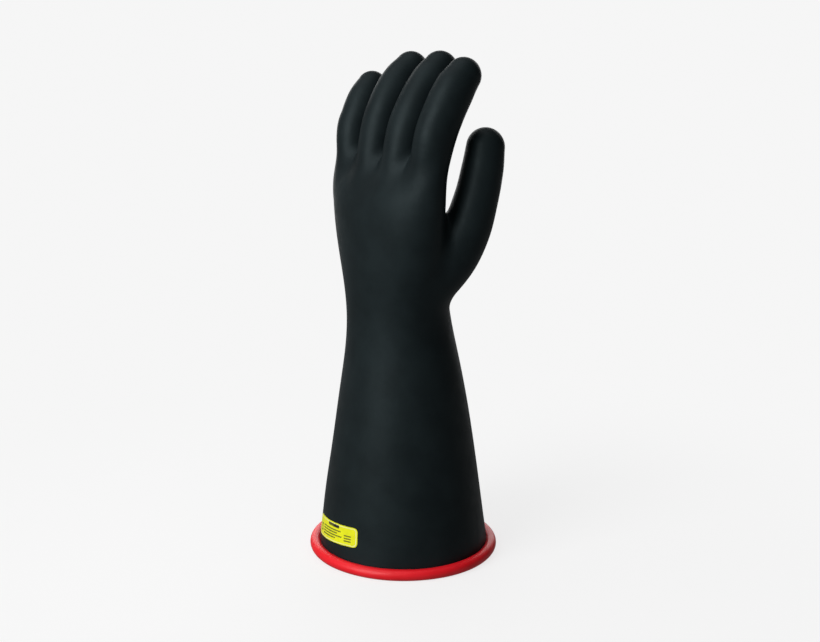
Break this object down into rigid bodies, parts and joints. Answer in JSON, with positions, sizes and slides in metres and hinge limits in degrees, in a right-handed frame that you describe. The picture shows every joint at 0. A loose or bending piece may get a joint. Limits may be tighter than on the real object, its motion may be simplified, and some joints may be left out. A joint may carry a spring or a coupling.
{
  "type": "electrical insulating glove",
  "caption": "Left-hand electrical insulating glove of two-ply rubber with a long flared gauntlet, rolled cuff bead and class label, flexing at wrist, fingers and thumb.",
  "frame": {"origin": "centre of the cuff opening on the plane that the rolled bead rests on", "axes": "+Z from the cuff towards the finger tips, +Y out of the palm, +X towards the thumb"},
  "size_m": [0.1348, 0.1324, 0.3513],
  "materials": {
    "black_rubber": "satin natural rubber, chlorinated and smooth",
    "red_rubber": "satin natural rubber",
    "yellow_label": "cured yellow label film",
    "label_ink": "black ink"
  },
  "bodies": {
    "gauntlet": {"gauntlet_black_ply": "black_rubber", "gauntlet_red_ply": "red_rubber", "cuff_bead": "red_rubber", "class_label": "yellow_label", "label_print": "label_ink"},
    "hand": {"hand_black_ply": "black_rubber", "hand_red_ply": "red_rubber"},
    "index_proximal": {"index_proximal_black_ply": "black_rubber", "index_proximal_red_ply": "red_rubber"},
    "index_middle": {"index_middle_black_ply": "black_rubber", "index_middle_red_ply": "red_rubber"},
    "index_tip": {"index_tip_black_ply": "black_rubber", "index_tip_red_ply": "red_rubber"},
    "middle_proximal": {"middle_proximal_black_ply": "black_rubber", "middle_proximal_red_ply": "red_rubber"},
    "middle_middle": {"middle_middle_black_ply": "black_rubber", "middle_middle_red_ply": "red_rubber"},
    "middle_tip": {"middle_tip_black_ply": "black_rubber", "middle_tip_red_ply": "red_rubber"},
    "ring_proximal": {"ring_proximal_black_ply": "black_rubber", "ring_proximal_red_ply": "red_rubber"},
    "ring_middle": {"ring_middle_black_ply": "black_rubber", "ring_middle_red_ply": "red_rubber"},
    "ring_tip": {"ring_tip_black_ply": "black_rubber", "ring_tip_red_ply": "red_rubber"},
    "little_proximal": {"little_proximal_black_ply": "black_rubber", "little_proximal_red_ply": "red_rubber"},
    "little_middle": {"little_middle_black_ply": "black_rubber", "little_middle_red_ply": "red_rubber"},
    "little_tip": {"little_tip_black_ply": "black_rubber", "little_tip_red_ply": "red_rubber"},
    "thumb_base": {"thumb_base_black_ply": "black_rubber", "thumb_base_red_ply": "red_rubber"},
    "thumb_tip": {"thumb_tip_black_ply": "black_rubber", "thumb_tip_red_ply": "red_rubber"}
  },
  "joints": [
    {"name": "wrist_flex", "type": "hinge", "parent": "gauntlet", "child": "hand", "pos_m": [-0.001, -0.003, 0.171], "axis": [-1, 0, 0], "range_deg": [-25, 30], "stiffness_Nm_per_rad": 3},
    {"name": "index_knuckle", "type": "hinge", "parent": "hand", "child": "index_proximal", "pos_m": [0.0398, -0.0069, 0.2945], "axis": [-0.9967, 0, 0.0809], "range_deg": [-12, 20], "stiffness_Nm_per_rad": 0.3},
    {"name": "index_middle_joint", "type": "hinge", "parent": "index_proximal", "child": "index_middle", "pos_m": [0.04124, -0.00023, 0.31277], "axis": [-0.9969, 0, 0.0785], "range_deg": [-16, 32], "stiffness_Nm_per_rad": 0.12},
    {"name": "index_tip_joint", "type": "hinge", "parent": "index_middle", "child": "index_tip", "pos_m": [0.04243, 0.00839, 0.32795], "axis": [-0.9969, 0, 0.0785], "range_deg": [-9.6, 19.2], "stiffness_Nm_per_rad": 0.03},
    {"name": "middle_knuckle", "type": "hinge", "parent": "hand", "child": "middle_proximal", "pos_m": [0.0123, -0.0072, 0.2945], "axis": [-0.9974, 0, 0.0719], "range_deg": [-12, 20], "stiffness_Nm_per_rad": 0.3},
    {"name": "middle_middle_joint", "type": "hinge", "parent": "middle_proximal", "child": "middle_middle", "pos_m": [0.0133, 0.00015, 0.31361], "axis": [-0.9986, 0, 0.0523], "range_deg": [-16, 32], "stiffness_Nm_per_rad": 0.12},
    {"name": "middle_tip_joint", "type": "hinge", "parent": "middle_middle", "child": "middle_tip", "pos_m": [0.01413, 0.01077, 0.32934], "axis": [-0.9986, 0, 0.0523], "range_deg": [-9.6, 19.2], "stiffness_Nm_per_rad": 0.03},
    {"name": "ring_knuckle", "type": "hinge", "parent": "hand", "child": "ring_proximal", "pos_m": [-0.0172, -0.0058, 0.294], "axis": [-0.999, 0, -0.0456], "range_deg": [-12, 20], "stiffness_Nm_per_rad": 0.3},
    {"name": "ring_middle_joint", "type": "hinge", "parent": "ring_proximal", "child": "ring_middle", "pos_m": [-0.01671, 0.00137, 0.31267], "axis": [-0.9997, 0, 0.0262], "range_deg": [-16, 32], "stiffness_Nm_per_rad": 0.12},
    {"name": "ring_tip_joint", "type": "hinge", "parent": "ring_middle", "child": "ring_tip", "pos_m": [-0.01631, 0.01171, 0.328], "axis": [-0.9997, 0, 0.0262], "range_deg": [-9.6, 19.2], "stiffness_Nm_per_rad": 0.03},
    {"name": "little_knuckle", "type": "hinge", "parent": "hand", "child": "little_proximal", "pos_m": [-0.0458, -0.005, 0.2902], "axis": [-0.9978, 0, -0.0669], "range_deg": [-12, 20], "stiffness_Nm_per_rad": 0.3},
    {"name": "little_middle_joint", "type": "hinge", "parent": "little_proximal", "child": "little_middle", "pos_m": [-0.04616, -0.00004, 0.30382], "axis": [-0.9997, 0, -0.0262], "range_deg": [-16, 32], "stiffness_Nm_per_rad": 0.12},
    {"name": "little_tip_joint", "type": "hinge", "parent": "little_middle", "child": "little_tip", "pos_m": [-0.04645, 0.00573, 0.31513], "axis": [-0.9997, 0, -0.0262], "range_deg": [-9.6, 19.2], "stiffness_Nm_per_rad": 0.03},
    {"name": "thumb_spread", "type": "hinge", "parent": "hand", "child": "thumb_base", "pos_m": [0.0428, 0.0285, 0.255], "axis": [0, 0.9715, -0.237], "range_deg": [-12, 25], "stiffness_Nm_per_rad": 0.8},
    {"name": "thumb_tip_joint", "type": "hinge", "parent": "thumb_base", "child": "thumb_tip", "pos_m": [0.044, 0.0325, 0.274], "axis": [0, 0.9817, -0.1905], "range_deg": [-25, 8], "stiffness_Nm_per_rad": 0.5}
  ],
  "couplings": [
    {"joint": "index_tip_joint", "follows": "index_middle_joint", "ratio": 0.6},
    {"joint": "middle_tip_joint", "follows": "middle_middle_joint", "ratio": 0.6},
    {"joint": "ring_tip_joint", "follows": "ring_middle_joint", "ratio": 0.6},
    {"joint": "little_tip_joint", "follows": "little_middle_joint", "ratio": 0.6}
  ]
}
